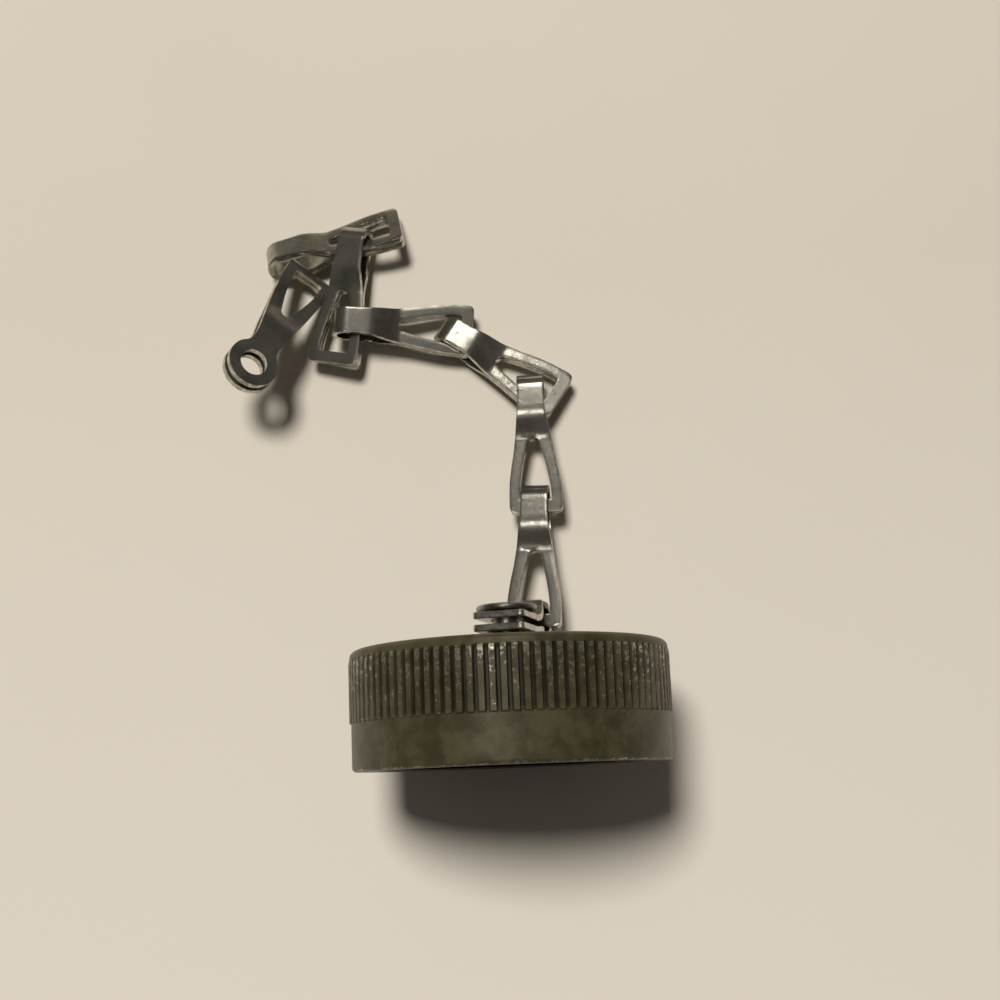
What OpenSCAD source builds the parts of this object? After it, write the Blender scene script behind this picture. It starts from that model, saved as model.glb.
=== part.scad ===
// Screw-on protective cap for a round cable connector, with its folded sash chain.
// The cap lies on its knurled side: the cap axis runs along Y, the mouth faces -Y,
// the closed end faces +Y and Z is up from the table. Origin: centre of the mouth, on the axis.

/* [Cap] */
// outside diameter over the knurl ridges
knurl_d = 33.3; // [30:0.1:36]
// height of the cap from the mouth to the closed face
cap_h = 12.2; // [11:0.1:15]
// height of the smooth band next to the mouth
band_h = 4.8; // [3:0.1:6]
// how far the smooth band lies below the ridges, on the radius
band_step = 0.18; // [0.05:0.01:0.4]
// number of knurl ridges round the cap
knurl_n = 96; // [80:1:110]
// depth of the knurl grooves
knurl_depth = 0.42; // [0.2:0.02:0.6]
// width of a ridge top as a share of the pitch
knurl_land = 0.5; // [0.35:0.05:0.7]
// radius of the rounded edge round the closed face
edge_r = 0.7; // [0.5:0.1:1.6]
// minor diameter of the cap's internal thread
bore_d = 27.05; // [25:0.05:28]
// depth of the threaded bore
bore_depth = 10.4; // [8:0.1:10.6]
// entry chamfer at the mouth
mouth_chamfer = 0.35; // [0.2:0.05:0.8]
// diameter of the groove behind the thread, which keeps the gasket in
relief_d = 28.8; // [28.4:0.1:30]
// height of that groove
relief_h = 1.8; // [1.5:0.1:2.4]

/* [Gasket] */
// thickness of the flat gasket on the bottom of the bore
gasket_t = 1.4; // [0.8:0.1:2]
// hole through the gasket
gasket_hole_d = 18.0; // [12:0.5:22]
// gap between the gasket and its groove
gasket_clearance = 0.05; // [0.02:0.01:0.15]

/* [Swivel rivet] */
// diameter of the rivet shank
rivet_d = 3.1; // [2.6:0.1:3.6]
// diameter of the flat outer head
rivet_head_d = 6.4; // [5.4:0.1:7]
// thickness of the outer head
rivet_head_t = 0.75; // [0.5:0.05:1]
// diameter of the shoulder that keeps the terminal off the face
shoulder_d = 4.4; // [4:0.1:5]
// height of that shoulder
shoulder_h = 1.45; // [0.4:0.05:1.6]
// diameter of the clenched inner head
clench_d = 5.0; // [4.2:0.1:6]
// gap between the shank and the cap wall, on the radius
rivet_clearance = 0.03; // [0.02:0.01:0.1]

/* [Chain strip] */
// thickness of the folded steel strip
strip_t = 0.72; // [0.6:0.05:0.85]
// gap between the two leaves where they lie together
leaf_gap = 0.1; // [0.06:0.02:0.3]
// inner radius of the fold that hooks the next link
fold_r = 1.17; // [1.1:0.02:1.3]
// overall length of one link
link_len = 16.7; // [15:0.1:18]
// width across the wide end
wide_w = 6.1; // [5.6:0.1:6.6]
// width of the neck at the fold
neck_w = 3.06; // [2.4:0.02:3.2]
// width of the crossbar beyond the window
bar_w = 1.34; // [1.2:0.02:1.4]
// length of the triangular window
window_len = 7.6; // [6:0.1:8]
// width of the window at the crossbar
window_w = 3.64; // [3.5:0.02:3.8]

/* [Swivel terminal] */
// width of the square tabs under the rivet head
tab_w = 5.5; // [5:0.1:6]
// how far the tabs reach past the rivet
tab_reach = 3.3; // [3:0.1:3.8]
// distance from the rivet to the centre of the fold
drop = 11.5; // [10.5:0.1:12.5]
// clear space between the two tabs
tab_gap = 0.6; // [0.4:0.05:0.8]
// gap between the rivet shank and the tab holes, on the radius
swivel_clearance = 0.1; // [0.06:0.02:0.2]

/* [Eye terminal] */
// outside diameter of the round eye
eye_d = 5.9; // [5.4:0.1:6.4]
// hole through the eye
eye_hole_d = 3.2; // [2.8:0.1:3.4]
// distance from the eye centre to the crossbar centre
eye_reach = 15.6; // [14.5:0.1:16.5]

/* [Hidden] */
$fn = 72;
overlap = 0.5;

// cap, measured from the mouth
knurl_r = knurl_d / 2;
band_r = knurl_r - band_step;
groove_r = knurl_r - knurl_depth;
knurl_end = cap_h - edge_r - 0.25;
rim_r = knurl_r - 0.12;
bore_r = bore_d / 2;
pitch_a = 360 / knurl_n;
land_a = pitch_a * knurl_land / 2;
foot_a = pitch_a * (knurl_land + 0.28) / 2;

// rivet, measured from the mouth
rivet_r = rivet_d / 2;
hole_r = rivet_r + rivet_clearance;
tab_inner_y = cap_h + shoulder_h + 0.1;
tab_mid_y = tab_inner_y + strip_t + tab_gap / 2;
head_y = tab_mid_y + tab_gap / 2 + strip_t + 0.12;
clench_t = 0.7;

// links, measured from the crossbar centre towards the fold
half_t = strip_t / 2;
flat_z = (leaf_gap + strip_t) / 2;
fold_z = fold_r + half_t;
link_end = link_len - bar_w / 2;
arc_x = link_end - strip_t - fold_r;
spread_from = bar_w / 2 + window_len - 0.4;
spread_to = arc_x - 2.6;
steps = 8;

// rest positions: each place is where the hook before it holds a piece, then yaw, pitch and roll
table_z = -knurl_r;
flat_h = table_z + fold_r + strip_t + 0.06;
swivel_rest = 14;
swivel_shift = 1.3;
hook = [arc_x, 0, 0];
leg_y = (wide_w + window_w) / 4;
swivel_hook = [drop * sin(swivel_rest), tab_mid_y + swivel_shift, -drop * cos(swivel_rest)];
// link 1 slopes from the swivel terminal down to the links on the table
start_1 = swivel_hook + [-0.0421, -0.1, 0.1284];
slope_1 = asin((start_1[2] - flat_h - 1.9223) / arc_x);
pose_1 = [start_1, [87.0, -slope_1, -6.8]];
pose_2 = held(pose_1, [-0.6851, -0.1051, -0.1515], [0, 0, 0], [90.4, -3.9, -2.6]);
pose_3 = held(pose_2, [-1.5782, 0.153, -0.046], [2, leg_y, 0], [145.8, -1.3, 6.8]);
pose_4 = held(pose_3, [-1.0597, -1.278, 0.1995], [0, 0, 0], [174.6, 5.2, 1.2]);
pose_5 = held(pose_4, [-1.4466, 0.0521, 0.1512], [4.4, -leg_y, 0], [78.1, 3.3, -10.4]);
pose_6 = held(pose_5, [-1.182, -0.2512, 0.2719], [5.4, leg_y, 0], [192.8, -2.7, 32.1]);
pose_7 = held(pose_6, [-0.8266, 2.3156, 0.2657], [bar_w / 2, -leg_y, 0], [245.4, 26.8, -24.6]);

// rows of the matrix that turns a piece by yaw, pitch and roll
function turned(a) = [
    [cos(a[0]) * cos(a[1]), -sin(a[0]) * cos(a[2]) - cos(a[0]) * sin(a[1]) * sin(a[2]),
     sin(a[0]) * sin(a[2]) - cos(a[0]) * sin(a[1]) * cos(a[2])],
    [sin(a[0]) * cos(a[1]), cos(a[0]) * cos(a[2]) - sin(a[0]) * sin(a[1]) * sin(a[2]),
     -cos(a[0]) * sin(a[2]) - sin(a[0]) * sin(a[1]) * cos(a[2])],
    [sin(a[1]), cos(a[1]) * sin(a[2]), cos(a[1]) * cos(a[2])]];
// the point of a piece that the hook of the one before it holds, with its slack in that hook
function held(before, slack, point, angles) =
    [before[0] + turned(before[1]) * (hook + slack) - turned(angles) * point, angles];

function ease(u) = u <= 0 ? 0 : u >= 1 ? 1 : u * u * (3 - 2 * u);
function mix(a, b, u) = a + (b - a) * ease(u);
function spread(x) = mix(flat_z, fold_z, (x - spread_from) / (spread_to - spread_from));
function link_xs() = concat([-bar_w, spread_from],
    [for (i = [1:steps]) spread_from + (spread_to - spread_from) * i / steps], [arc_x]);

// turns a part built along X so that it lies at its rest place
module at_rest(p) {
    translate(p[0])
        rotate([0, 0, p[1][0]])
            rotate([0, -p[1][1], 0])
                rotate([p[1][2], 0, 0])
                    children();
}

// a side profile drawn in X and Z becomes a slab that is wide enough for any outline
module slab(w) {
    rotate([90, 0, 0])
        translate([0, 0, -w])
            linear_extrude(2 * w)
                children();
}

// a round roll across the strip, for the inside and the outside of a fold
module roll(x, z, r, w) {
    translate([x, w, z])
        rotate([90, 0, 0])
            cylinder(r = r, h = 2 * w, $fn = 32);
}

// half outline of the link, from the wide end to the fold, as [distance, half width]
link_edge = [
    [-bar_w / 2, wide_w / 2 - 0.62],
    [-bar_w / 2 + 0.16, wide_w / 2 - 0.24],
    [-bar_w / 2 + 0.52, wide_w / 2 - 0.03],
    [0.3, wide_w / 2],
    [2.6, wide_w / 2 - 0.1],
    [4.6, wide_w / 2 - 0.38],
    [6.4, wide_w / 2 - 0.72],
    [8.4, wide_w / 2 - 1.0],
    [10.0, neck_w / 2 + 0.3],
    [11.6, neck_w / 2 + 0.08],
    [12.8, neck_w / 2],
    [link_end + 1, neck_w / 2]
];

function mirrored(e) = concat(e, [for (i = [len(e) - 1:-1:0]) [e[i][0], -e[i][1]]]);

// triangular window with a rounded apex
module window_2d(w, l, apex_r) {
    polygon(mirrored([
        [bar_w / 2, w / 2 - 0.3],
        [bar_w / 2 + 0.1, w / 2 - 0.1],
        [bar_w / 2 + 0.35, w / 2],
        [bar_w / 2 + 1.7, w / 2 - 0.06],
        [bar_w / 2 + l * 0.55, w / 2 - 0.46],
        [bar_w / 2 + l - apex_r - 0.25, apex_r * 1.03]
    ]));
    translate([bar_w / 2 + l - apex_r, 0])
        circle(r = apex_r, $fn = 24);
}

// one folded link: two leaves that lie together at the window and part towards the fold
module link_body() {
    xs = link_xs();
    intersection() {
        difference() {
            union() {
                slab(wide_w)
                    polygon(mirrored([for (x = xs) [x, spread(x) + half_t]]));
                roll(arc_x, 0, fold_r + strip_t, wide_w);
            }
            slab(wide_w + overlap)
                polygon(mirrored([for (x = concat([-bar_w - overlap], xs)) [x, spread(x) - half_t]]));
            roll(arc_x, 0, fold_r, wide_w + overlap);
        }
        translate([0, 0, -fold_z - strip_t])
            linear_extrude(2 * (fold_z + strip_t))
                difference() {
                    polygon(mirrored(link_edge));
                    window_2d(window_w, window_len, 0.72);
                }
    }
}

// swivel terminal, measured from the rivet towards the fold
swivel_fold_r = fold_r + 0.13;
function tab_spread(x) = mix((tab_gap + strip_t) / 2, swivel_fold_r + half_t, (x - 3.4) / 5.2);
function tab_mid(x) = mix(0, swivel_shift, (x - 2.4) / 6.4);
function tab_xs() = concat([-tab_reach], [for (i = [0:steps]) 2.4 + 6.4 * i / steps], [drop]);
tab_edge = [
    [-tab_reach, tab_w / 2 - 0.2],
    [-tab_reach + 0.2, tab_w / 2],
    [4.2, tab_w / 2],
    [5.4, tab_w / 2 - 0.14],
    [7.2, tab_w / 2 - 0.66],
    [8.6, tab_w / 2 - 1.08],
    [9.6, neck_w / 2],
    [drop + 3, neck_w / 2]
];

module swivel_body() {
    xs = tab_xs();
    upper = [for (x = xs) [x, tab_mid(x) + tab_spread(x)]];
    lower = [for (i = [len(xs) - 1:-1:0]) [xs[i], tab_mid(xs[i]) - tab_spread(xs[i])]];
    difference() {
        intersection() {
            difference() {
                union() {
                    slab(tab_w)
                        polygon(concat([for (p = upper) p + [0, half_t]], [for (p = lower) p - [0, half_t]]));
                    roll(drop, swivel_shift, swivel_fold_r + strip_t, tab_w);
                }
                slab(tab_w + overlap)
                    polygon(concat([[-tab_reach - overlap, upper[0][1] - half_t]],
                        [for (p = upper) p - [0, half_t]], [for (p = lower) p + [0, half_t]],
                        [[-tab_reach - overlap, -upper[0][1] + half_t]]));
                roll(drop, swivel_shift, swivel_fold_r, tab_w + overlap);
            }
            translate([0, 0, -tab_w])
                linear_extrude(3 * tab_w)
                    polygon(mirrored(tab_edge));
        }
        translate([0, 0, -tab_w])
            cylinder(r = rivet_r + swivel_clearance, h = 2 * tab_w, $fn = 40);
    }
}

// eye terminal, measured from its crossbar towards the eye
eye_back = leaf_gap / 2 + strip_t;
function eye_spread(x) = flat_z + 0.5 * ease((x - 6.4) / 3.4) - 0.2 * ease((x - 10.4) / 2.4);
function eye_xs() = concat([eye_back - bar_w / 2], [for (i = [0:2 * steps]) 6.4 + 6.4 * i / (2 * steps)],
    [eye_reach + eye_d]);
eye_edge = concat([
    [-bar_w / 2 - 0.2, wide_w / 2 - 0.3],
    [0.2, wide_w / 2],
    [2.2, wide_w / 2 - 0.1],
    [4.4, wide_w / 2 - 0.3],
    [6.8, wide_w / 2 - 0.62],
    [9.2, wide_w / 2 - 0.98],
    [11.4, wide_w / 2 - 1.34],
    [12.7, wide_w / 2 - 1.36],
    [13.3, wide_w / 2 - 1.16]],
    [for (a = [55:10:175]) [eye_reach - eye_d / 2 * cos(a), eye_d / 2 * sin(a)]]);

module eye_body() {
    xs = eye_xs();
    intersection() {
        difference() {
            union() {
                slab(wide_w)
                    polygon(mirrored([for (x = xs) [x, eye_spread(x) + half_t]]));
                roll(eye_back - bar_w / 2, 0, eye_back + 0.012, wide_w);
            }
            slab(wide_w + overlap)
                polygon(mirrored([for (x = concat([eye_back - bar_w / 2 - 0.15], xs)) [x, eye_spread(x) - half_t]]));
        }
        translate([0, 0, -wide_w])
            linear_extrude(2 * wide_w)
                difference() {
                    polygon(mirrored(eye_edge));
                    window_2d(window_w, window_len - 0.6, 0.7);
                    translate([eye_reach, 0])
                        circle(d = eye_hole_d, $fn = 40);
                }
    }
}

// ridges and grooves of the knurl as one closed outline
module knurl_2d() {
    polygon([for (i = [0:knurl_n - 1], k = [0:3])
        let (a = i * pitch_a + [-foot_a, -land_a, land_a, foot_a][k],
             r = (k == 0 || k == 3) ? groove_r : knurl_r)
            [r * cos(a), r * sin(a)]]);
}

// the cap built along Z from the mouth, then laid along Y
module along_y() {
    rotate([-90, 0, 0])
        children();
}

module cap_shell() {
    color([0.36, 0.34, 0.26])
        along_y()
            difference() {
                union() {
                    cylinder(r = band_r, h = band_h);
                    translate([0, 0, band_h])
                        linear_extrude(knurl_end - band_h)
                            knurl_2d();
                    rotate_extrude()
                        polygon(concat(
                            [[0, band_h - overlap], [groove_r - overlap, band_h - overlap],
                             [groove_r - overlap, knurl_end], [rim_r, knurl_end]],
                            [for (a = [0:15:90]) [rim_r - edge_r + edge_r * cos(a), cap_h - edge_r + edge_r * sin(a)]],
                            [[0, cap_h]]));
                }
                translate([0, 0, -overlap])
                    cylinder(r = bore_r, h = bore_depth + overlap);
                translate([0, 0, -0.01])
                    cylinder(r1 = bore_r + mouth_chamfer, r2 = bore_r, h = mouth_chamfer);
                translate([0, 0, bore_depth - relief_h])
                    cylinder(d = relief_d, h = relief_h);
                cylinder(r = hole_r, h = cap_h + overlap);
            }
}

module gasket() {
    color([0.12, 0.12, 0.12])
        along_y()
            translate([0, 0, bore_depth - gasket_t])
                difference() {
                    cylinder(r = relief_d / 2 - gasket_clearance, h = gasket_t);
                    translate([0, 0, -overlap])
                        cylinder(d = gasket_hole_d, h = gasket_t + 2 * overlap);
                }
}

module center_rivet() {
    color([0.55, 0.55, 0.55])
        along_y() {
            translate([0, 0, bore_depth - clench_t])
                cylinder(d1 = clench_d - 0.8, d2 = clench_d, h = clench_t);
            translate([0, 0, bore_depth - clench_t])
                cylinder(r = rivet_r, h = head_y - bore_depth + clench_t);
            translate([0, 0, cap_h])
                cylinder(d = shoulder_d, h = shoulder_h);
            translate([0, 0, head_y])
                cylinder(d = rivet_head_d, h = rivet_head_t);
        }
}

module swivel_terminal() {
    color([0.6, 0.6, 0.58])
        translate([0, tab_mid_y, 0])
            rotate([0, -swivel_rest, 0])
                rotate([-90, 0, 0])
                    rotate([0, 0, 90])
                        swivel_body();
}

module link_1() {
    color([0.6, 0.6, 0.58])
        at_rest(pose_1)
            link_body();
}

module link_2() {
    color([0.6, 0.6, 0.58])
        at_rest(pose_2)
            link_body();
}

module link_3() {
    color([0.6, 0.6, 0.58])
        at_rest(pose_3)
            link_body();
}

module link_4() {
    color([0.6, 0.6, 0.58])
        at_rest(pose_4)
            link_body();
}

module link_5() {
    color([0.6, 0.6, 0.58])
        at_rest(pose_5)
            link_body();
}

module link_6() {
    color([0.6, 0.6, 0.58])
        at_rest(pose_6)
            link_body();
}

module eye_terminal() {
    color([0.6, 0.6, 0.58])
        at_rest(pose_7)
            eye_body();
}

cap_shell();
gasket();
center_rivet();
swivel_terminal();
link_1();
link_2();
link_3();
link_4();
link_5();
link_6();
eye_terminal();
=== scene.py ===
# %% [markdown]
# This script dresses a screw-on dust cap for a round cable connector.
# On the real object a short cap of olive-plated aluminium hangs on a chain of folded steel links.
# The CAD model already holds every size and every joint, so this script only adds the looks.
# It could rebuild the object by eye, but then nothing would fit, so it loads the CAD model as a fixed frame.

import math
import bmesh
import bpy
from mathutils import Matrix, Vector


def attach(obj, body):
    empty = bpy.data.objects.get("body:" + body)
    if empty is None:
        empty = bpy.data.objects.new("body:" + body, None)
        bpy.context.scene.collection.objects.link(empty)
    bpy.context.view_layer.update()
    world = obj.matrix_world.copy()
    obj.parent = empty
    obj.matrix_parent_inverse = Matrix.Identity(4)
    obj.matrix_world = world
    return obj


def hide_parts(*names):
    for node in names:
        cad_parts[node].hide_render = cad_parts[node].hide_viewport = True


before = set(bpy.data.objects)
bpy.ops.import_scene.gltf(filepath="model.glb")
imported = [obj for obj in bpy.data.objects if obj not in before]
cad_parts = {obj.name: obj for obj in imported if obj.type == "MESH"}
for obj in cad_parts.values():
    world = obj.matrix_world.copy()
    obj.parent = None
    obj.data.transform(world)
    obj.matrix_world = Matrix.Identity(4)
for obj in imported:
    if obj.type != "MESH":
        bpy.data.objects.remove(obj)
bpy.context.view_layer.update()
MM = 0.001
print("CAD nodes:", sorted(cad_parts))

# %% [markdown]
# The photograph was taken from almost straight above, with the cap lying on its knurled side.
# A camera could be turned by eye until the picture looks alike.
# Here its three axes and its place were fitted to the lengths of the links and the rim of the cap instead.
# A 54 mm lens on a 36 mm sensor sees about the same angle as the photograph does.
# The cap lies on its knurl, so the table is one knurl radius below the cap's axis.

# %% Place the camera
knurl_r = 16.65
table_z = -knurl_r
camera_right = Vector((0.998478, -0.039722, -0.038254))
camera_up = Vector((0.046182, 0.981397, 0.186353))
camera_back = Vector((0.030140, -0.187836, 0.981738))
camera_place = Vector((4.585, -2.061, 156.705)) * MM

camera_data = bpy.data.cameras.new("photo_camera")
camera_data.lens = 54.0
camera_data.sensor_width = 36.0
camera_data.clip_start = 0.005
camera = bpy.data.objects.new("photo_camera", camera_data)
camera.matrix_world = Matrix((
    (camera_right.x, camera_up.x, camera_back.x, camera_place.x),
    (camera_right.y, camera_up.y, camera_back.y, camera_place.y),
    (camera_right.z, camera_up.z, camera_back.z, camera_place.z),
    (0.0, 0.0, 0.0, 1.0)))
bpy.context.collection.objects.link(camera)
bpy.context.scene.camera = camera
print("camera height above the table in mm:", round(camera_place.z / MM - table_z, 1))

# %% [markdown]
# A node tree is a list of nodes joined by wires, and both kinds of tree in this script need the same steps.
# They could be written out each time, but the trees would be hard to read.
# So one helper feeds a socket, one adds a node and feeds its inputs, and one makes a named input or output.

# %% Helpers for node trees
def feed(tree, socket, value):
    """Wires another node's output into the socket, or gives the socket a plain value."""
    if hasattr(value, "is_output"):
        tree.links.new(value, socket)
    else:
        socket.default_value = value


def add_node(tree, kind, wires=None, **settings):
    node = tree.nodes.new(kind)
    for name, value in settings.items():
        setattr(node, name, value)
    for key, value in (wires or {}).items():
        feed(tree, node.inputs[key], value)
    return node


def math_node(tree, operation, *values, clamp=False):
    wires = dict(enumerate(values))
    return add_node(tree, "ShaderNodeMath", wires, operation=operation, use_clamp=clamp).outputs[0]


def spread_range(tree, value, low, high, **more):
    """Turns a value between low and high into one between 0 and 1."""
    wires = {"Value": value, "From Min": low, "From Max": high}
    return add_node(tree, "ShaderNodeMapRange", wires, **more).outputs["Result"]


def new_socket(tree, name, kind, value=None, output=False):
    socket = tree.interface.new_socket(name, in_out="OUTPUT" if output else "INPUT", socket_type=kind)
    if value is not None:
        socket.default_value = value
    return socket.identifier


# %% [markdown]
# Worn metal has three effects that several finishes of this object share.
# The first is grime: soft dark patches with no regular shape, which layered noise gives.
# The second is a rubbed edge: the finish is gone along an edge, but only here and there.
# The third is the fine marks that tools and rollers leave, which show only in how the light falls.
# A painted mask could show them, but noise in object space needs no map and never repeats.

# %% Shader group: grime patches
def build_grime():
    tree = bpy.data.node_groups.new("Grime Patches", "ShaderNodeTree")
    new_socket(tree, "Patch Scale", "NodeSocketFloat", 200.0)
    new_socket(tree, "Cover", "NodeSocketFloat", 0.5)
    new_socket(tree, "Softness", "NodeSocketFloat", 0.2)
    new_socket(tree, "Mask", "NodeSocketFloat", output=True)
    ins = add_node(tree, "NodeGroupInput").outputs
    place = add_node(tree, "ShaderNodeTexCoord").outputs["Object"]
    patches = add_node(tree, "ShaderNodeTexNoise", {
        "Vector": place, "Scale": ins["Patch Scale"], "Detail": 5.0, "Roughness": 0.6})
    low = math_node(tree, "SUBTRACT", ins["Cover"], ins["Softness"])
    high = math_node(tree, "ADD", ins["Cover"], ins["Softness"])
    mask = add_node(tree, "ShaderNodeMapRange", {
        "Value": patches.outputs["Fac"], "From Min": low, "From Max": high, "To Min": 1.0, "To Max": 0.0},
        interpolation_type="SMOOTHSTEP")
    add_node(tree, "NodeGroupOutput", {"Mask": mask.outputs["Result"]})
    return tree


grime_patches = build_grime()
print("made shader group:", grime_patches.name)

# %% Shader group: rubbed edges
def build_rubbed():
    tree = bpy.data.node_groups.new("Rubbed Edges", "ShaderNodeTree")
    new_socket(tree, "Edge", "NodeSocketFloat", 0.0)
    new_socket(tree, "Fleck Scale", "NodeSocketFloat", 1500.0)
    new_socket(tree, "Wear", "NodeSocketFloat", 0.5)
    new_socket(tree, "Mask", "NodeSocketFloat", output=True)
    ins = add_node(tree, "NodeGroupInput").outputs
    place = add_node(tree, "ShaderNodeTexCoord").outputs["Object"]
    flecks = add_node(tree, "ShaderNodeTexNoise", {
        "Vector": place, "Scale": ins["Fleck Scale"], "Detail": 4.0, "Roughness": 0.65})
    reach = math_node(tree, "MULTIPLY", ins["Edge"], ins["Wear"])
    total = math_node(tree, "ADD", reach, flecks.outputs["Fac"])
    worn_from, worn_through = 0.98, 1.14
    mask = spread_range(tree, total, worn_from, worn_through, interpolation_type="SMOOTHSTEP")
    add_node(tree, "NodeGroupOutput", {"Mask": mask})
    return tree


rubbed_edges = build_rubbed()
print("made shader group:", rubbed_edges.name)

# %% Shader group: fine tool marks
def build_marks():
    tree = bpy.data.node_groups.new("Tool Marks", "ShaderNodeTree")
    new_socket(tree, "Stretch", "NodeSocketVector", (1.0, 1.0, 1.0))
    new_socket(tree, "Mark Scale", "NodeSocketFloat", 900.0)
    new_socket(tree, "Height", "NodeSocketFloat", output=True)
    ins = add_node(tree, "NodeGroupInput").outputs
    place = add_node(tree, "ShaderNodeTexCoord").outputs["Object"]
    drawn = add_node(tree, "ShaderNodeVectorMath", {0: place, 1: ins["Stretch"]}, operation="MULTIPLY")
    marks = add_node(tree, "ShaderNodeTexNoise", {
        "Vector": drawn.outputs[0], "Scale": ins["Mark Scale"], "Detail": 6.0, "Roughness": 0.7})
    add_node(tree, "NodeGroupOutput", {"Height": marks.outputs["Fac"]})
    return tree


tool_marks = build_marks()
print("made shader group:", tool_marks.name)

# %% [markdown]
# Each finish is one Principled shader, and what changes over its surface comes from the groups above.
# The same steps come back in every finish: read a value of the mesh, place a group, mix two colours.
# With a helper for each step, a finish reads like a recipe.

# %% Helpers for materials
def new_material(name, **constants):
    material = bpy.data.materials.new(name)
    material.use_nodes = True
    tree = material.node_tree
    shader = tree.nodes["Principled BSDF"]
    for key, value in constants.items():
        shader.inputs[key.replace("_", " ")].default_value = value
    return material, tree, shader


def mesh_value(tree, name):
    """A number that each point of the mesh carries under this name."""
    return add_node(tree, "ShaderNodeAttribute", attribute_name=name).outputs["Fac"]


def place_group(tree, group, **values):
    wires = {key.replace("_", " "): value for key, value in values.items()}
    return add_node(tree, "ShaderNodeGroup", wires, node_tree=group).outputs[0]


def mix_colour(tree, amount, first, second):
    return add_node(tree, "ShaderNodeMix", {0: amount, 6: first, 7: second}, data_type="RGBA").outputs[2]


def mix_value(tree, amount, first, second):
    return add_node(tree, "ShaderNodeMix", {0: amount, 2: first, 3: second}, data_type="FLOAT").outputs[0]


def add_bump(tree, shader, height, strength, distance):
    bump = add_node(tree, "ShaderNodeBump", {"Height": height, "Strength": strength, "Distance": distance})
    tree.links.new(bump.outputs["Normal"], shader.inputs["Normal"])


# %% [markdown]
# The cap is aluminium with an olive-drab plating, which is a thin, slightly cloudy skin.
# Plain paint would be too even, and plain metal too bright.
# So a dull half-metal is clouded with grime, and where a ridge top is rubbed the bare metal shows through.
# The mesh carries a value named edge. It is high on ridge tops and rims, so the wear sits where hands rub.
# A second value, carried by the mesh, paints shade into the grooves between the ridges, darker where the
# knurl cuts deeper.

# %% Material: olive plating
def build_olive():
    material, tree, shader = new_material("olive_plating")
    olive, clouded_olive = (0.078, 0.067, 0.035, 1), (0.046, 0.038, 0.018, 1)
    # the near-black groove colour is painted shade for the knurl grooves, not dirt
    painted_groove_shade, bare_metal = (0.011, 0.008, 0.004, 1), (0.42, 0.40, 0.33, 1)
    edge = mesh_value(tree, "edge")
    hollow = mesh_value(tree, "hollow")
    cloud = place_group(tree, grime_patches, Patch_Scale=420.0, Cover=0.5, Softness=0.14)
    bare = place_group(tree, rubbed_edges, Edge=edge, Fleck_Scale=1900.0, Wear=0.58)
    colour = mix_colour(tree, cloud, olive, clouded_olive)
    # painted shade in the knurl grooves
    colour = mix_colour(tree, hollow, colour, painted_groove_shade)
    colour = mix_colour(tree, bare, colour, bare_metal)
    tree.links.new(colour, shader.inputs["Base Color"])
    tree.links.new(mix_value(tree, bare, 0.25, 1.0), shader.inputs["Metallic"])
    tree.links.new(mix_value(tree, bare, 0.42, 0.27), shader.inputs["Roughness"])
    marks = place_group(tree, tool_marks, Stretch=(1.0, 0.35, 1.0), Mark_Scale=2200.0)
    add_bump(tree, shader, marks, strength=0.35, distance=0.06 * MM)
    return material


olive_plating = build_olive()
print("made material:", olive_plating.name)

# %% [markdown]
# The chain is bare steel strip that was plated long ago.
# It is bright where it is rubbed and grey-brown where it is not, with fine marks of the rolling mill.
# One metal with one roughness would look like chrome, so the grime group mixes two tones and dark specks.
# Its thin edges are rubbed brighter than its faces.

# %% Material: chain steel
def build_chain_steel():
    material, tree, shader = new_material("chain_steel", Metallic=0.93)
    steel, dull_steel = (0.44, 0.42, 0.36, 1), (0.23, 0.215, 0.18, 1)
    dark_speck, rubbed_steel = (0.15, 0.135, 0.11, 1), (0.62, 0.60, 0.53, 1)
    edge = mesh_value(tree, "edge")
    patina = place_group(tree, grime_patches, Patch_Scale=260.0, Cover=0.5, Softness=0.16)
    specks = place_group(tree, grime_patches, Patch_Scale=1100.0, Cover=0.30, Softness=0.08)
    bright = place_group(tree, rubbed_edges, Edge=edge, Fleck_Scale=1500.0, Wear=0.55)
    colour = mix_colour(tree, patina, steel, dull_steel)
    colour = mix_colour(tree, specks, colour, dark_speck)
    colour = mix_colour(tree, bright, colour, rubbed_steel)
    tree.links.new(colour, shader.inputs["Base Color"])
    rough = mix_value(tree, patina, 0.18, 0.28)
    tree.links.new(mix_value(tree, bright, rough, 0.2), shader.inputs["Roughness"])
    marks = place_group(tree, tool_marks, Stretch=(1.0, 1.0, 1.0), Mark_Scale=1400.0)
    add_bump(tree, shader, marks, strength=0.3, distance=0.05 * MM)
    return material


chain_steel = build_chain_steel()
print("made material:", chain_steel.name)

# %% [markdown]
# The rivet is steel too, but its head was hammered, and no link rubs over it.
# The chain's finish could serve, but a rougher and greyer one tells the two pieces apart.

# %% Material: rivet steel
def build_rivet_steel():
    material, tree, shader = new_material("rivet_steel", Metallic=1.0)
    steel, dull_steel = (0.40, 0.38, 0.34, 1), (0.20, 0.185, 0.16, 1)
    rubbed_steel = (0.62, 0.60, 0.55, 1)
    edge = mesh_value(tree, "edge")
    patina = place_group(tree, grime_patches, Patch_Scale=420.0, Cover=0.52, Softness=0.18)
    bright = place_group(tree, rubbed_edges, Edge=edge, Fleck_Scale=1800.0, Wear=0.5)
    colour = mix_colour(tree, patina, steel, dull_steel)
    colour = mix_colour(tree, bright, colour, rubbed_steel)
    tree.links.new(colour, shader.inputs["Base Color"])
    tree.links.new(mix_value(tree, patina, 0.32, 0.45), shader.inputs["Roughness"])
    marks = place_group(tree, tool_marks, Stretch=(1.0, 1.0, 1.0), Mark_Scale=1700.0)
    add_bump(tree, shader, marks, strength=0.35, distance=0.05 * MM)
    return material


rivet_steel = build_rivet_steel()
print("made material:", rivet_steel.name)

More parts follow.
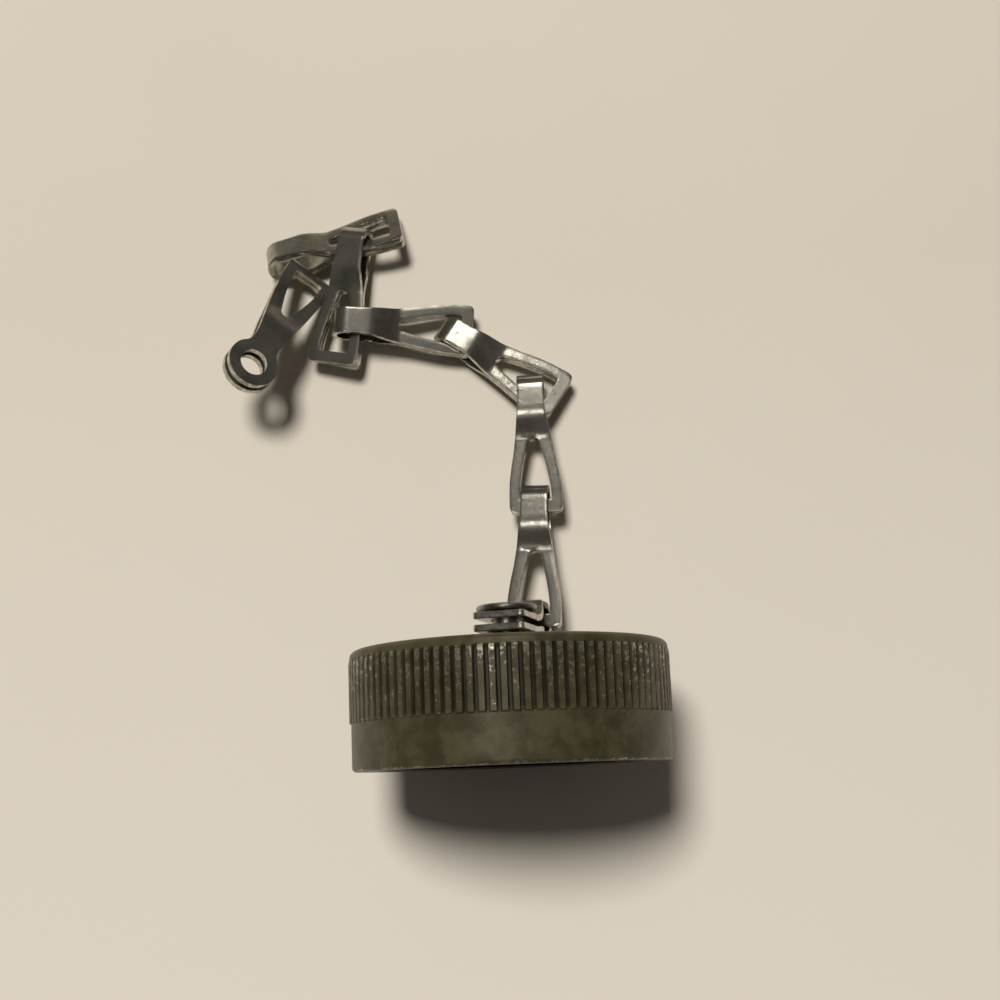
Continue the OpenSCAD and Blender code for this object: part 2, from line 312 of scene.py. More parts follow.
# %% [markdown]
# The gasket is a flat ring of black rubber on the bottom of the cap.
# A plain black would lose its form, so it is a very dark grey with a dusty bloom and a fine pebbled bump.
# Its shape needs nothing more than the CAD model has, so only its material is replaced.

# %% Material: gasket rubber
def build_rubber():
    material, tree, shader = new_material("gasket_rubber", Metallic=0.0)
    rubber, dusty_rubber = (0.016, 0.016, 0.015, 1), (0.042, 0.040, 0.037, 1)
    bloom = place_group(tree, grime_patches, Patch_Scale=300.0, Cover=0.42, Softness=0.2)
    tree.links.new(mix_colour(tree, bloom, rubber, dusty_rubber), shader.inputs["Base Color"])
    tree.links.new(mix_value(tree, bloom, 0.62, 0.8), shader.inputs["Roughness"])
    marks = place_group(tree, tool_marks, Stretch=(1.0, 1.0, 1.0), Mark_Scale=2600.0)
    add_bump(tree, shader, marks, strength=0.4, distance=0.05 * MM)
    return material


gasket_rubber = build_rubber()
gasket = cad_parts["gasket"]
for slot in gasket.material_slots:
    slot.material = gasket_rubber
print("made material:", gasket_rubber.name)

# %% [markdown]
# The cap is turned on a lathe, so its mesh is a profile carried round an axis.
# A spin tool could do that, but the knurl and the thread need columns of points at exact angles.
# So each ring is placed point by point, and a ring with many points may meet one with few.
# Each point keeps three numbers: how deep the knurl cuts, how deep the thread cuts and how rubbed it is.

# %% Helpers for turned pieces
def add_ring(bm, layers, radius, y, angles, **numbers):
    ring = []
    for angle in angles:
        vertex = bm.verts.new((radius * math.cos(angle) * MM, y * MM, -radius * math.sin(angle) * MM))
        for name, value in numbers.items():
            vertex[layers[name]] = value
        ring.append(vertex)
    return ring


def join_rings(bm, first, second):
    """Faces between two rings. One may have a whole number of times the points of the other."""
    if len(first) < len(second):
        first, second = second, first
    step, count = len(first) // len(second), len(second)
    for i in range(count):
        fine = [first[(i * step + k) % len(first)] for k in range(step + 1)]
        bm.faces.new(fine + [second[(i + 1) % count], second[i]])


def close_rings(bm, rings):
    for i, ring in enumerate(rings):
        join_rings(bm, ring, rings[(i + 1) % len(rings)])


def new_mesh_object(name, bm):
    mesh = bpy.data.meshes.new(name)
    bm.to_mesh(mesh)
    bm.free()
    piece = bpy.data.objects.new(name, mesh)
    bpy.context.collection.objects.link(piece)
    return piece


def smooth_between_edges(piece, edge_degrees):
    """Smooth faces, but sharp wherever two of them meet at more than this angle."""
    piece.data.shade_smooth()
    piece.data.set_sharp_from_angle(angle=math.radians(edge_degrees))


# %% Sizes of the cap, as in the CAD model
band_r, rim_r = 16.47, 16.53
band_h, cap_h, edge_r, knurl_end = 4.8, 12.2, 0.7, 11.25
bore_r, bore_depth, thread_depth = 13.525, 10.4, 0.74
gasket_groove_r, gasket_groove_h = 14.4, 1.8
rivet_hole_r, ridge_count, knurl_depth = 1.58, 96, 0.42
land_share, foot_share = 0.5, 0.78
pitch_angle = 2 * math.pi / ridge_count
land_angle, foot_angle = pitch_angle * land_share / 2, pitch_angle * foot_share / 2
ridge_angles = [
    -foot_angle, -(foot_angle + land_angle) / 2, -land_angle, -land_angle / 3,
    land_angle / 3, land_angle, (foot_angle + land_angle) / 2, foot_angle]
fine_angles = [i * pitch_angle + a for i in range(ridge_count) for a in ridge_angles]
coarse_angles = fine_angles[::4]
print("columns round the knurl:", len(fine_angles))

# %% The outside of the cap, from the mouth to the closed end
deep = knurl_depth
# height, radius, how deep the knurl cuts, how rubbed
band_profile = [
    (0.0, 16.22, 0, .5), (0.1, 16.35, 0, .9), (0.24, 16.43, 0, .7), (0.45, band_r, 0, .3),
    (1.5, band_r, 0, 0), (2.6, band_r, 0, 0), (3.7, band_r, 0, 0), (4.6, band_r, 0, 0),
    (band_h, band_r, 0, 0)]
knurl_profile = [
    (4.86, 16.58, .12, .5), (4.94, knurl_r, .22, .8), (5.04, knurl_r, .3, .6), (5.18, knurl_r, .36, .6),
    (5.36, knurl_r, .4, .6), (5.6, knurl_r, deep, .65), (6.6, knurl_r, deep, .7), (7.6, knurl_r, deep, .75),
    (8.6, knurl_r, deep, .78), (9.6, knurl_r, deep, .8), (10.5, knurl_r, deep, .85),
    (10.76, knurl_r, deep, .9), (10.92, knurl_r, .39, .9), (11.04, 16.635, .31, .9), (11.15, 16.6, .19, .9),
    (knurl_end, rim_r, 0, .4)]
rim_profile = [(11.36, rim_r, 0, .3), (cap_h - edge_r, rim_r, 0, .3)]
print("rings up the outside:", len(band_profile + knurl_profile + rim_profile))

# %% Turn the blank of the cap
def outer_rings(bm, layers):
    profile = band_profile + knurl_profile + rim_profile
    rings = [add_ring(bm, layers, r, y, fine_angles, knurl_cut=cut, edge=rub) for y, r, cut, rub in profile]
    edge_x, edge_y = rim_r - edge_r, cap_h - edge_r
    for degrees in range(15, 91, 15):
        a = math.radians(degrees)
        rub = 0.45 if degrees < 90 else 0.1
        rings.append(add_ring(bm, layers, edge_x + edge_r * math.cos(a), edge_y + edge_r * math.sin(a),
                              fine_angles, edge=rub))
    for r in (14.6, 12.0, 8.0, 4.0, 1.75):
        rings.append(add_ring(bm, layers, r, cap_h, coarse_angles))
    return rings


def inner_rings(bm, layers):
    groove_bottom = bore_depth - gasket_groove_h
    # radius, height
    rivet_hole = [(rivet_hole_r, cap_h - .15), (rivet_hole_r, bore_depth + .1)]
    bore_floor = [(r, bore_depth) for r in (1.7, 6.0, 11.0, gasket_groove_r - .1)]
    groove = [(gasket_groove_r, bore_depth - .1), (gasket_groove_r, groove_bottom + .05),
              (gasket_groove_r - .05, groove_bottom), (bore_r + .9, groove_bottom)]
    rings = [add_ring(bm, layers, r, y, coarse_angles) for r, y in rivet_hole + bore_floor + groove]
    thread_rows, thread_start = 82, 0.35
    for i in range(thread_rows + 1):
        y = groove_bottom - (groove_bottom - thread_start) * i / thread_rows
        rings.append(add_ring(bm, layers, bore_r, y, coarse_angles, thread_cut=thread_depth, edge=.25))
    for r, y in ((13.72, 0.16), (13.9, 0.04), (14.1, 0.0)):
        rings.append(add_ring(bm, layers, r, y, coarse_angles, edge=.5))
    return rings


def turn_cap_blank():
    bm = bmesh.new()
    layers = {name: bm.verts.layers.float.new(name) for name in ("knurl_cut", "thread_cut", "edge")}
    close_rings(bm, outer_rings(bm, layers) + inner_rings(bm, layers))
    bmesh.ops.recalc_face_normals(bm, faces=bm.faces)
    return new_mesh_object("knurled_cap", bm)


knurled_cap = turn_cap_blank()
print("faces of the turned blank:", len(knurled_cap.data.polygons))

# %% [markdown]
# The knurl is pressed into the cap: 96 straight grooves between flat-topped ridges.
# The thread inside is one long spiral groove of 18 turns to the inch.
# Both follow a rule of the angle, so Geometry Nodes cut them, and each size stays a named input.
# A boolean with 96 cutters could do it too, but it is slow and leaves untidy faces.

# %% Geometry Nodes: cut the knurl and the thread
thread_pitch = 25.4 / 18
crest_share, root_share = 0.2, 0.86
groove_darkness = 1.9


def read_attribute(tree, name):
    return add_node(tree, "GeometryNodeInputNamedAttribute", {"Name": name}, data_type="FLOAT").outputs[0]


def store_attribute(tree, geometry, name, value):
    wires = {"Geometry": geometry, "Name": name, "Value": value}
    node = add_node(tree, "GeometryNodeStoreNamedAttribute", wires, data_type="FLOAT", domain="POINT")
    return node.outputs[0]


def finish_tree(tree, geometry, finish):
    """The end of both trees: real geometry instead of instances, and its material."""
    real = add_node(tree, "GeometryNodeRealizeInstances", {"Geometry": geometry})
    done = add_node(tree, "GeometryNodeSetMaterial", {"Geometry": real.outputs[0], "Material": finish})
    add_node(tree, "NodeGroupOutput", {"Geometry": done.outputs[0]})


def build_cutting_tree():
    tree = bpy.data.node_groups.new("Cut Knurl And Thread", "GeometryNodeTree")
    ids = {name: new_socket(tree, name, kind, value) for name, kind, value in (
        ("Geometry", "NodeSocketGeometry", None), ("Ridge Count", "NodeSocketFloat", float(ridge_count)),
        ("Land Share", "NodeSocketFloat", land_share), ("Foot Share", "NodeSocketFloat", foot_share),
        ("Thread Pitch", "NodeSocketFloat", thread_pitch * MM), ("Finish", "NodeSocketMaterial", None))}
    new_socket(tree, "Geometry", "NodeSocketGeometry", output=True)
    ins = add_node(tree, "NodeGroupInput").outputs
    spot = add_node(tree, "GeometryNodeInputPosition").outputs[0]
    xyz = add_node(tree, "ShaderNodeSeparateXYZ", {0: spot}).outputs
    angle = math_node(tree, "ARCTAN2", math_node(tree, "MULTIPLY", xyz["Z"], -1.0), xyz["X"])
    turn = math_node(tree, "DIVIDE", angle, 2 * math.pi)
    # how far a point is from the middle of its ridge: 0 in the middle, 1 in the middle of the groove
    ridges = math_node(tree, "MULTIPLY", turn, ins["Ridge Count"])
    ridge = math_node(tree, "MULTIPLY", math_node(tree, "PINGPONG", ridges, 0.5), 2.0)
    groove = spread_range(tree, ridge, ins["Land Share"], ins["Foot Share"])
    knurl_cut = read_attribute(tree, "knurl_cut")
    knurl_depth_here = math_node(tree, "MULTIPLY", groove, knurl_cut)
    # the spiral: where a point lies between one thread crest and the next
    climb = math_node(tree, "ADD", math_node(tree, "DIVIDE", xyz["Y"], ins["Thread Pitch"]), turn)
    flank = math_node(tree, "MULTIPLY", math_node(tree, "PINGPONG", climb, 0.5), 2.0)
    valley = spread_range(tree, flank, crest_share, root_share)
    thread_depth_here = math_node(tree, "MULTIPLY", valley, read_attribute(tree, "thread_cut"))
    # the thread is cut outwards from the bore, and the knurl inwards from the outside
    depth = math_node(tree, "MULTIPLY", math_node(tree, "SUBTRACT", thread_depth_here, knurl_depth_here), MM)
    flat = add_node(tree, "ShaderNodeVectorMath", {0: spot, 1: (1.0, 0.0, 1.0)}, operation="MULTIPLY")
    outward = add_node(tree, "ShaderNodeVectorMath", {0: flat.outputs[0]}, operation="NORMALIZE")
    shift = add_node(tree, "ShaderNodeVectorMath", {0: outward.outputs[0], "Scale": depth}, operation="SCALE")
    cut = add_node(tree, "GeometryNodeSetPosition", {"Geometry": ins["Geometry"], "Offset": shift.outputs[0]})
    # grooves get painted shade and are never rubbed; ridge tops keep their wear
    is_knurl = math_node(tree, "GREATER_THAN", knurl_cut, 0.0)
    top = math_node(tree, "SUBTRACT", 1.0, math_node(tree, "MULTIPLY", is_knurl, groove))
    wear = math_node(tree, "MULTIPLY", read_attribute(tree, "edge"), top)
    worn = store_attribute(tree, cut.outputs[0], "edge", wear)
    # painted shade: the deeper the knurl cuts, the darker its groove
    dark = math_node(tree, "MULTIPLY", knurl_depth_here, groove_darkness, clamp=True)
    finish_tree(tree, store_attribute(tree, worn, "hollow", dark), ins["Finish"])
    return tree, ids


cutting_tree, cutting_ids = build_cutting_tree()
print("inputs of the cutting tree:", list(cutting_ids))

# %% [markdown]
# The export wants plain meshes, so a modifier that has done its work is taken off and its result is kept.
# The modifier's inputs are set by their identifiers, which new_socket gave back when the tree was built.

# %% Helpers: set a tree's inputs, and turn modifiers into a plain mesh
def make_plain(piece, material):
    """Replaces the object's mesh with what its modifiers show, and takes the modifiers off."""
    bpy.context.view_layer.update()
    seen = piece.evaluated_get(bpy.context.evaluated_depsgraph_get())
    mesh = bpy.data.meshes.new_from_object(seen)
    piece.modifiers.clear()
    piece.data = mesh
    mesh.materials.clear()
    mesh.materials.append(material)


def set_inputs(modifier, ids, **values):
    for name, value in values.items():
        modifier[ids[name.replace("_", " ")]] = value


# %% Cut the cap
cutter = knurled_cap.modifiers.new("cut", "NODES")
cutter.node_group = cutting_tree
set_inputs(cutter, cutting_ids, Ridge_Count=float(ridge_count), Land_Share=land_share, Foot_Share=foot_share,
           Thread_Pitch=thread_pitch * MM, Finish=olive_plating)
make_plain(knurled_cap, olive_plating)
smooth_between_edges(knurled_cap, 38)
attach(knurled_cap, "cap")
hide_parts("cap_shell")
print("faces of the cut cap:", len(knurled_cap.data.polygons))

# %% [markdown]
# The rivet holds the first chain piece to the cap, and lets it turn.
# It has a flat head outside, a shoulder against the cap and a flattened head inside.
# The CAD model draws it with sharp edges, so it is turned again here with its edges broken.

# %% Turn the rivet
rivet_top, rivet_bottom, shoulder_top = 16.66, 9.7, 13.65
head_r, head_h, shank_r, shoulder_r, clench_r = 3.2, 0.75, 1.55, 2.2, 2.48
rivet_columns = 72


def turn_rivet():
    bm = bmesh.new()
    layers = {"edge": bm.verts.layers.float.new("edge")}
    angles = [2 * math.pi * i / rivet_columns for i in range(rivet_columns)]
    top = rivet_top
    # radius, height, how rubbed
    head = [(0.9, top - .1, .2), (1.3, top - .04, .3), (2.3, top, .3), (2.9, top - .02, .8),
            (3.1, top - .1, 1), (3.19, top - .24, .8), (head_r, top - .4, .4), (3.17, top - .6, .4),
            (3.05, top - .72, .4), (2.9, top - head_h, 0), (shank_r, top - head_h, 0)]
    shoulder = [(shank_r, shoulder_top, 0), (2.1, shoulder_top, 0), (2.19, 13.57, 0), (shoulder_r, 13.4, 0),
                (shoulder_r, cap_h, 0), (shank_r, cap_h, 0)]
    clench = [(shank_r, bore_depth, 0), (2.4, bore_depth, 0), (clench_r, 10.32, .4), (clench_r, 10.1, .5),
              (2.3, 9.8, .7), (2.05, 9.71, .8), (1.6, rivet_bottom, .4), (0.9, 9.76, .2)]
    rings = [add_ring(bm, layers, r, y, angles, edge=rub) for r, y, rub in head + shoulder + clench]
    for first, second in zip(rings, rings[1:]):
        join_rings(bm, first, second)
    bm.faces.new(rings[0])
    bm.faces.new(rings[-1])
    bmesh.ops.recalc_face_normals(bm, faces=bm.faces)
    return new_mesh_object("swivel_rivet", bm)


swivel_rivet = turn_rivet()
swivel_rivet.data.materials.append(rivet_steel)
smooth_between_edges(swivel_rivet, 50)
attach(swivel_rivet, "cap")
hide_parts("center_rivet")
print("faces of the rivet:", len(swivel_rivet.data.polygons))

# %% [markdown]
# Each chain piece starts as a flat blank, which a press stamps out of steel strip with its windows.
# The strip is then folded over, so its two leaves lie together and its narrow neck makes a hook.
# The mesh follows the same order: a flat grid is cut to the outline, then a node tree folds it along a path.
# The outline is given as half widths along one leaf, because both leaves and both sides are alike.

# %% Sizes of the chain strip, as in the CAD model
strip_t, leaf_gap, fold_r, link_len = 0.72, 0.10, 1.17, 16.7
bar_w, window_len, window_w = 1.34, 7.6, 3.64
stamped_edge_r = 0.17
flat_z, half_t = (leaf_gap + strip_t) / 2, strip_t / 2
fold_z = fold_r + half_t
link_end = link_len - bar_w / 2
arc_x = link_end - strip_t - fold_r


def ease(u):
    """A soft step from 0 to 1, which starts and ends level."""
    u = min(1.0, max(0.0, u))
    return u * u * (3 - 2 * u)


def follow(points, x):
    """Reads a smooth curve through points given as (x, value)."""
    if x <= points[0][0]:
        return points[0][1]
    for i in range(len(points) - 1):
        (x0, a), (x1, b) = points[i], points[i + 1]
        if x <= x1:
            before = points[i - 1] if i else points[i]
            after = points[i + 2] if i + 2 < len(points) else points[i + 1]
            span, u = x1 - x0, (x - x0) / (x1 - x0)
            m0 = (b - before[1]) / (x1 - before[0]) * span
            m1 = (after[1] - a) / (after[0] - x0) * span
            return ((2 * u ** 3 - 3 * u ** 2 + 1) * a + (u ** 3 - 2 * u ** 2 + u) * m0
                    + (-2 * u ** 3 + 3 * u ** 2) * b + (u ** 3 - u ** 2) * m1)
    return points[-1][1]


print("fold centre of a link in mm from its crossbar:", round(arc_x, 2))

# %% [markdown]
# A link's window has a straight end at the crossbar, two straight sides that close in, and a round apex.
# A boolean could cut it, but it would leave long thin faces that fold badly.
# So each row of the blank's points knows how wide its opening is, and no face is made there.

# %% Openings in a leaf, as half widths along it
def round_hole(x, centre, radius):
    return math.sqrt(max(0.0, radius * radius - (x - centre) ** 2))


def window(x, length, apex_r):
    start, end = bar_w / 2, bar_w / 2 + length
    if x > end - apex_r:
        return round_hole(x, end - apex_r, apex_r)
    half = window_w / 2
    outline = [(start, half - .3), (start + .1, half - .1), (start + .35, half), (start + 1.7, half - .06),
               (start + length * .55, half - .46), (end - apex_r, apex_r)]
    return follow(outline, x)


apex_r = 0.72
print("half width of a link's window 4 mm from the crossbar:", round(window(4.0, window_len, apex_r), 2))

# %% Choose the rows of a blank
# the usual distance between rows, and three distances at which two rows are too close to keep both
row_step, same_row, too_near, near = 0.42, 0.005, 0.03, 0.05


def stations(start, end, extra=()):
    """Places along a leaf where the blank gets a row of points: even steps, and the extra places exactly."""
    count = max(1, round((end - start) / row_step))
    places = sorted([start + (end - start) * i / count for i in range(count + 1)] + list(extra))
    kept = [places[0]]
    for x in places[1:]:
        if x - kept[-1] < same_row:
            continue
        if x in extra or x - kept[-1] > too_near:
            if x in extra and x - kept[-1] < near and kept[-1] not in extra:
                kept.pop()
            kept.append(x)
    return kept


print("rows along 10 mm of plain strip:", len(stations(0.0, 10.0)))

# %% Stamp a flat blank
# faces across each side of an opening and across the opening itself
side, middle = 3, 4
# where a row has no opening, its inner lines stay at this share of the strip's half width
closed_share, least_half, hole_reach, same_place = 0.46, 0.1, 1.1, 1e-6


def opening_half(x, w, openings):
    """Half width of the lines beside the openings. Past each end they ease to a share of the strip's."""
    h = closed_share * w
    for start, end, shape in openings:
        inside = max(shape(min(max(x, start), end)), least_half)
        away = max(start - x, x - end, 0.0)
        if away < hole_reach:
            h = inside + (h - inside) * ease(away / hole_reach)
    return h


def is_open(x0, x1, openings):
    return any(start - same_place <= x0 and x1 <= end + same_place for start, end, _ in openings)


def stamp_blank(name, rows, half_width, openings):
    """rows: (length along the strip, distance x along the leaf). openings: (start, end, half width of x)."""
    bm = bmesh.new()
    edge_layer = bm.verts.layers.float.new("edge")
    lines = []
    for s, x in rows:
        w = half_width(x)
        h = opening_half(x, w, openings)
        across = [-w + (w - h) * k / side for k in range(side)]
        across += [-h + 2 * h * k / middle for k in range(middle)]
        across += [h + (w - h) * k / side for k in range(side + 1)]
        line = [bm.verts.new((s * MM, y * MM, 0)) for y in across]
        line[0][edge_layer] = line[-1][edge_layer] = 1.0
        if is_open(x, x, openings):
            line[side][edge_layer] = line[side + middle][edge_layer] = 1.0
        lines.append((x, line))
    for vertex in lines[0][1] + lines[-1][1]:
        vertex[edge_layer] = 1.0
    for (x0, first), (x1, second) in zip(lines, lines[1:]):
        hole = is_open(min(x0, x1), max(x0, x1), openings)
        for k in range(len(first) - 1):
            if not (hole and side <= k < side + middle):
                bm.faces.new((first[k], second[k], second[k + 1], first[k + 1]))
    for vertex in [v for v in bm.verts if not v.link_faces]:
        bm.verts.remove(vertex)
    return new_mesh_object(name, bm)


# %% Draw a fold path
def fold_path(name, points):
    """A poly curve in the X-Z plane, and the length along it at each point."""
    data = bpy.data.curves.new(name, "CURVE")
    data.dimensions = "3D"
    spline = data.splines.new("POLY")
    spline.points.add(len(points) - 1)
    lengths, total = [], 0.0
    for i, (x, z) in enumerate(points):
        spline.points[i].co = (x * MM, 0.0, z * MM, 1.0)
        if i:
            total += math.dist(points[i - 1], points[i])
        lengths.append(total)
    path = bpy.data.objects.new(name, data)
    bpy.context.collection.objects.link(path)
    return path, lengths


def hook_points(leaf_xs, mid, spread, centre_x, centre_z, radius):
    """Upper leaf, half circle and lower leaf, as (x, z, distance along the leaf)."""
    upper = [(x, mid(x) + spread(x), x) for x in leaf_xs]
    lower = [(x, mid(x) - spread(x), x) for x in reversed(leaf_xs)]
    bend, bend_steps = [], 20
    for i in range(1, bend_steps):
        a = math.pi / 2 - math.pi * i / bend_steps
        x = centre_x + radius * math.cos(a)
        bend.append((x, centre_z + radius * math.sin(a), x))
    return upper + bend + lower


# %% [markdown]
# A folded strip keeps its length, so each point of the flat blank has one place on the folded path.
# Geometry Nodes read that place from a curve, put the point there and lay the piece at its rest place.
# A Simple Deform bend could fold it too, but it can't part the leaves and close the hook in one go.

# %% Geometry Nodes: fold a blank along its path
def build_folding_tree():
    tree = bpy.data.node_groups.new("Fold Strip", "GeometryNodeTree")
    ids = {name: new_socket(tree, name, kind) for name, kind in (
        ("Geometry", "NodeSocketGeometry"), ("Fold Path", "NodeSocketObject"),
        ("Crossbar Place", "NodeSocketVector"), ("Turn", "NodeSocketVector"),
        ("Finish", "NodeSocketMaterial"))}
    new_socket(tree, "Geometry", "NodeSocketGeometry", output=True)
    ins = add_node(tree, "NodeGroupInput").outputs
    spot = add_node(tree, "GeometryNodeInputPosition").outputs[0]
    flat = add_node(tree, "ShaderNodeSeparateXYZ", {0: spot}).outputs
    path = add_node(tree, "GeometryNodeObjectInfo", {"Object": ins["Fold Path"]}, transform_space="ORIGINAL")
    place = add_node(tree, "GeometryNodeSampleCurve", mode="LENGTH", use_all_curves=True)
    feed(tree, place.inputs["Curves"], path.outputs["Geometry"])
    feed(tree, place.inputs["Length"], flat["X"])
    bent = add_node(tree, "ShaderNodeSeparateXYZ", {0: place.outputs["Position"]}).outputs
    folded_spot = add_node(tree, "ShaderNodeCombineXYZ", {"X": bent["X"], "Y": flat["Y"], "Z": bent["Z"]})
    fold = add_node(tree, "GeometryNodeSetPosition", {
        "Geometry": ins["Geometry"], "Position": folded_spot.outputs[0]})
    laid = add_node(tree, "GeometryNodeTransform", {
        "Geometry": fold.outputs[0], "Translation": ins["Crossbar Place"], "Rotation": ins["Turn"]})
    finish_tree(tree, laid.outputs[0], ins["Finish"])
    return tree, ids


folding_tree, folding_ids = build_folding_tree()
print("inputs of the folding tree:", list(folding_ids))

# %% [markdown]
# The folded sheet has no thickness yet, and a press leaves the edges of a strip slightly round.
# Solidify gives it its thickness to both sides of the path, and Bevel rounds the edges.
# Both are modifiers, so the same two settings serve every chain piece.

# %% Fold one chain piece, give it its thickness and round its stamped edges
def fold_piece(blank, path, place, turn, body, node):
    folder = blank.modifiers.new("fold", "NODES")
    folder.node_group = folding_tree
    set_inputs(folder, folding_ids, Fold_Path=path, Crossbar_Place=[c * MM for c in place],
               Turn=[math.radians(a) for a in turn], Finish=chain_steel)
    thick = blank.modifiers.new("strip", "SOLIDIFY")
    thick.thickness = strip_t * MM
    thick.offset = 0.0
    thick.use_even_offset = True
    soft = blank.modifiers.new("stamped edge", "BEVEL")
    soft.width = stamped_edge_r * MM
    soft.segments = 3
    soft.limit_method = "ANGLE"
    soft.angle_limit = math.radians(50)
    make_plain(blank, chain_steel)
    smooth_between_edges(blank, 55)
    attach(blank, body)
    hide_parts(node)


def make_chain_piece(name, points, half_width, openings, place, turn, body):
    """Stamps and folds one piece. Its body and its CAD node have the same name."""
    path, lengths = fold_path(name + "_path", [(x, z) for x, z, _ in points])
    rows = [(s, x) for s, (_, _, x) in zip(lengths, points)]
    blank = stamp_blank(name + "_folded", rows, half_width, openings)
    fold_piece(blank, path, place, turn, body, body)
    bpy.data.objects.remove(path)
    print("faces of", name + ":", len(blank.data.polygons))


# %% [markdown]
# The six links are alike, and only their places differ.
# Their places are the rest poses of the CAD model: the crossbar's centre, then roll, pitch and yaw.

# %% Make the six links
def link_spread(x):
    start, end = bar_w / 2 + window_len - 0.4, arc_x - 2.6
    return flat_z + (fold_z - flat_z) * ease((x - start) / (end - start))


# distance from the crossbar, half width of the strip
link_edge = [
    (-bar_w / 2, 2.43), (-.51, 2.81), (-.15, 3.02), (.3, 3.05), (2.6, 2.95), (4.6, 2.67),
    (6.4, 2.33), (8.4, 2.05), (10.0, 1.83), (11.6, 1.61), (12.8, 1.53), (17, 1.53)]
window_start, apex = bar_w / 2, bar_w / 2 + window_len
link_stops = [
    -bar_w / 2, -.6, -.51, -.35, -.15, window_start, window_start + .1, window_start + .35,
    apex - apex_r, apex - .48, apex - .28, apex - .12, apex - .03, apex, apex + .4]
link_xs = stations(-bar_w / 2, arc_x, link_stops)
link_openings = [(window_start, apex, lambda x: window(x, window_len, apex_r))]
link_rests = {
    "link_1": ((2.74, 15.97, -11.03), (-6.8, 7.1, 87.0)),
    "link_2": ((3.56, 29.28, -12.83), (-2.6, 3.9, 90.4)),
    "link_3": ((6.34, 42.68, -13.98), (6.8, 1.3, 145.8)),
    "link_4": ((-3.75, 51.10, -14.23), (1.2, -5.2, 174.6)),
    "link_5": ((-19.57, 48.46, -13.62), (-10.4, -3.3, 78.1)),
    "link_6": ((-11.85, 64.28, -13.60), (32.1, 2.7, 192.8)),
}
hook = hook_points(link_xs, lambda x: 0.0, link_spread, arc_x, 0.0, fold_z)
for name, (place, turn) in link_rests.items():
    make_chain_piece(name, hook, lambda x: follow(link_edge, x), link_openings, place, turn, name)

# %% [markdown]
# The swivel terminal hangs on the rivet by two square tabs, and its other end is the same hook as a link's.
# The tabs are further apart than the leaves of a link, and the hook sits to one side of them.

# %% Sizes of the swivel terminal
tab_gap, tab_reach, drop, swivel_shift, tab_mid_y = 0.6, 3.3, 11.5, 1.3, 14.77
swivel_fold_z = fold_r + 0.13 + half_t
rivet_hole = 1.65
# distance from the rivet, half width of the strip: straight along the tab, then a smooth curve to the hook
tab_end = 4.3
tab_edge = [(-tab_reach, 2.55), (-3.1, 2.75), (4.2, 2.75), (5.4, 2.61), (7.2, 2.09), (8.6, 1.67),
            (9.6, 1.53), (16, 1.53)]


def tab_spread(x):
    parting_start, parting_len = 3.4, 5.2
    start = (tab_gap + strip_t) / 2
    return start + (swivel_fold_z - start) * ease((x - parting_start) / parting_len)


def tab_mid(x):
    shift_start, shift_len = 2.4, 6.4
    return swivel_shift * ease((x - shift_start) / shift_len)


def tab_half_width(x):
    for (x0, a), (x1, b) in zip(tab_edge, tab_edge[1:]):
        if x <= x1 <= tab_end:
            return a + (b - a) * (x - x0) / (x1 - x0)
    return follow(tab_edge[2:], x)


hole_stops = [-rivet_hole, -1.6, -1.45, -1.2, -.8, -.3, .3, .8, 1.2, 1.45, 1.6, rivet_hole]
tab_xs = stations(-tab_reach, drop, [-tab_reach, -tab_reach + .2] + hole_stops)
print("rows along one leaf of the swivel terminal:", len(tab_xs))

# %% [markdown]
# The links lie along X before they are laid down, but the terminal hangs from the rivet along Y.
# Three turns in a row bring it there, and to_euler gives the three angles that do the same at once.

# %% Make the swivel terminal and lay it under the rivet head
swivel_rest = -14
swivel_turn = (Matrix.Rotation(math.radians(swivel_rest), 3, "Y") @ Matrix.Rotation(math.radians(-90), 3, "X")
               @ Matrix.Rotation(math.radians(90), 3, "Z")).to_euler("XYZ")
make_chain_piece(
    "swivel", hook_points(tab_xs, tab_mid, tab_spread, drop, swivel_shift, swivel_fold_z), tab_half_width,
    [(-rivet_hole, rivet_hole, lambda x: round_hole(x, 0, rivet_hole))],
    (0, tab_mid_y, 0), [math.degrees(a) for a in swivel_turn], "swivel_terminal")

# %% [markdown]
# The last chain piece ends in a round eye, which a screw holds to a panel.
# It is folded at its crossbar instead of its neck, so its two leaves end in two rings, one over the other.

# %% Sizes of the eye terminal
eye_r, eye_hole_r, eye_reach = 5.9 / 2, 1.6, 15.6
eye_bend = leaf_gap / 2 + strip_t - bar_w / 2
eye_window_len, eye_apex_r = window_len - 0.6, 0.7
ring_start = eye_reach - 1.7
# distance from the crossbar, half width of the strip
eye_edge = [(-.87, 2.75), (.2, 3.05), (2.2, 2.95), (4.4, 2.75), (6.8, 2.43), (9.2, 2.07), (11.4, 1.71),
            (12.7, 1.69), (13.3, 1.89), (ring_start, round_hole(ring_start, eye_reach, eye_r))]


def eye_spread(x):
    """The leaves part behind the window, and come a little closer again before the rings."""
    parting, closing = 0.5, 0.2
    return flat_z + parting * ease((x - 6.4) / 3.4) - closing * ease((x - 10.4) / 2.4)


def eye_half_width(x):
    narrowest = 0.35
    if x > ring_start:
        return max(narrowest, round_hole(x, eye_reach, eye_r))
    return follow(eye_edge, x)


